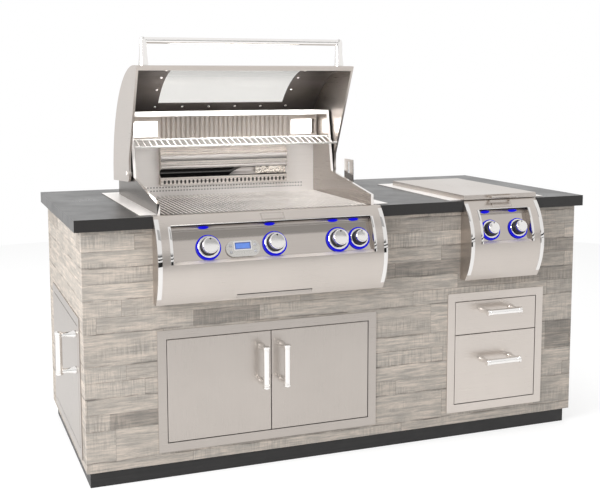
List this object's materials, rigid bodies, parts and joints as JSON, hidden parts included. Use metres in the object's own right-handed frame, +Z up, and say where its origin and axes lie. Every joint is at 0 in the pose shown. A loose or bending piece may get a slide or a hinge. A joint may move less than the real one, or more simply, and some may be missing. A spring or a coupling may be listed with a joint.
{
  "type": "outdoor kitchen island",
  "caption": "Clad outdoor kitchen island with a stone counter, a built-in gas grill with an open hood, a side cooker under a flat lid, doors and drawers.",
  "frame": {"origin": "on the floor at the middle of the plinth, under its cross rail", "axes": "+X right along the front as one faces it, +Y to the back, +Z up"},
  "size_m": [2.0066, 0.9682, 1.5141],
  "materials": {
    "stone": "dark honed stone, grey speckle",
    "cladding": "weathered grey-beige planks with saw marks",
    "black_board": "black painted board",
    "pale_board": "plain board",
    "galvanised": "galvanised angle",
    "stainless": "brushed stainless steel",
    "polished": "polished stainless steel",
    "liner": "dark heat-tinted steel",
    "cast": "cast stainless steel, dull",
    "iron": "black enamelled cast iron",
    "glass": "clear heat-proof glass",
    "knob": "chromed knob with a black skirt",
    "button": "light grey push button",
    "fascia": "brushed stainless steel with blue light rings"
  },
  "bodies": {
    "island": {"countertop": "stone", "cabinet_front": "cladding", "cabinet_back": "cladding", "cabinet_left": "cladding", "cabinet_right": "cladding", "plinth": "black_board", "cabinet_floor": "pale_board", "inner_frame": "galvanised", "door_frame": "stainless", "drawer_frame": "stainless", "side_door_frame": "stainless", "firebox": "stainless", "vent_panel": "stainless", "rear_burner": "stainless", "flame_tamer_left": "stainless", "flame_tamer_middle": "stainless", "flame_tamer_right": "stainless", "grill_panel": "stainless", "cooker_pan": "stainless", "cooker_panel": "stainless", "grill_fascia": "fascia", "cooker_fascia": "fascia", "warming_rack": "polished", "spit_bracket": "polished", "cooking_grate_left": "polished", "cooking_grate_middle": "polished", "cooking_grate_right": "polished", "display_bezel": "polished", "main_burner_left": "cast", "main_burner_middle": "cast", "main_burner_right": "cast", "cooker_burner_front": "iron", "cooker_burner_rear": "iron", "cooker_grate": "iron"},
    "hood": {"hood_shell": "stainless", "hood_liner": "liner", "hood_window": "glass", "hood_handle": "polished"},
    "left_door": {"door_left": "stainless", "door_left_handle": "polished"},
    "right_door": {"door_right": "stainless", "door_right_handle": "polished"},
    "end_door": {"side_door": "stainless", "side_door_handle": "polished"},
    "upper_drawer": {"drawer_upper": "stainless", "drawer_upper_handle": "polished"},
    "lower_drawer": {"drawer_lower": "stainless", "drawer_lower_handle": "polished"},
    "drip_tray": {"drip_tray": "stainless"},
    "cooker_lid": {"cooker_lid": "stainless"},
    "display_button_1": {"display_button_1": "button"},
    "display_button_2": {"display_button_2": "button"},
    "display_button_3": {"display_button_3": "button"},
    "display_button_4": {"display_button_4": "button"},
    "grill_knob_1": {"grill_knob_1": "knob"},
    "grill_knob_2": {"grill_knob_2": "knob"},
    "grill_knob_3": {"grill_knob_3": "knob"},
    "grill_knob_4": {"grill_knob_4": "knob"},
    "cooker_knob_1": {"cooker_knob_1": "knob"},
    "cooker_knob_2": {"cooker_knob_2": "knob"}
  },
  "joints": [
    {"name": "hood_hinge", "type": "hinge", "parent": "island", "child": "hood", "pos_m": [-0.304, -0.013, 1.019], "axis": [1, 0, 0], "range_deg": [0, 72]},
    {"name": "left_door_hinge", "type": "hinge", "parent": "island", "child": "left_door", "pos_m": [-0.6645, -0.4303, 0.31], "axis": [0, 0, -1], "range_deg": [0, 110]},
    {"name": "right_door_hinge", "type": "hinge", "parent": "island", "child": "right_door", "pos_m": [0.0565, -0.4303, 0.31], "axis": [0, 0, 1], "range_deg": [0, 110]},
    {"name": "end_door_hinge", "type": "hinge", "parent": "island", "child": "end_door", "pos_m": [-0.9543, 0.2665, 0.324], "axis": [0, 0, -1], "range_deg": [0, 110]},
    {"name": "upper_drawer_slide", "type": "slide", "parent": "island", "child": "upper_drawer", "axis": [0, -1, 0], "range_m": [0, 0.36]},
    {"name": "lower_drawer_slide", "type": "slide", "parent": "island", "child": "lower_drawer", "axis": [0, -1, 0], "range_m": [0, 0.36]},
    {"name": "drip_tray_slide", "type": "slide", "parent": "island", "child": "drip_tray", "axis": [0, -1, 0], "range_m": [0, 0.3]},
    {"name": "cooker_lid_hinge", "type": "hinge", "parent": "island", "child": "cooker_lid", "pos_m": [0.6075, 0.159, 0.9256], "axis": [-1, 0, 0], "range_deg": [0, 95]},
    {"name": "display_button_1_press", "type": "slide", "parent": "island", "child": "display_button_1", "axis": [0, 0.9228, -0.3852], "range_m": [0, 0.0015], "stiffness_N_per_m": 400, "springref_m": -0.001},
    {"name": "display_button_2_press", "type": "slide", "parent": "island", "child": "display_button_2", "axis": [0, 0.9228, -0.3852], "range_m": [0, 0.0015], "stiffness_N_per_m": 400, "springref_m": -0.001},
    {"name": "display_button_3_press", "type": "slide", "parent": "island", "child": "display_button_3", "axis": [0, 0.9228, -0.3852], "range_m": [0, 0.0015], "stiffness_N_per_m": 400, "springref_m": -0.001},
    {"name": "display_button_4_press", "type": "slide", "parent": "island", "child": "display_button_4", "axis": [0, 0.9228, -0.3852], "range_m": [0, 0.0015], "stiffness_N_per_m": 400, "springref_m": -0.001},
    {"name": "grill_knob_1_turn", "type": "hinge", "parent": "island", "child": "grill_knob_1", "pos_m": [-0.5393, -0.48223, 0.80849], "axis": [0, -0.9228, 0.3852], "range_deg": [0, 270]},
    {"name": "grill_knob_2_turn", "type": "hinge", "parent": "island", "child": "grill_knob_2", "pos_m": [-0.304, -0.48223, 0.80849], "axis": [0, -0.9228, 0.3852], "range_deg": [0, 270]},
    {"name": "grill_knob_3_turn", "type": "hinge", "parent": "island", "child": "grill_knob_3", "pos_m": [-0.0687, -0.48223, 0.80849], "axis": [0, -0.9228, 0.3852], "range_deg": [0, 270]},
    {"name": "grill_knob_4_turn", "type": "hinge", "parent": "island", "child": "grill_knob_4", "pos_m": [0.01094, -0.48223, 0.80849], "axis": [0, -0.9228, 0.3852], "range_deg": [0, 270]},
    {"name": "cooker_knob_1_turn", "type": "hinge", "parent": "island", "child": "cooker_knob_1", "pos_m": [0.54793, -0.48223, 0.80849], "axis": [0, -0.9228, 0.3852], "range_deg": [0, 270]},
    {"name": "cooker_knob_2_turn", "type": "hinge", "parent": "island", "child": "cooker_knob_2", "pos_m": [0.66707, -0.48223, 0.80849], "axis": [0, -0.9228, 0.3852], "range_deg": [0, 270]}
  ]
}
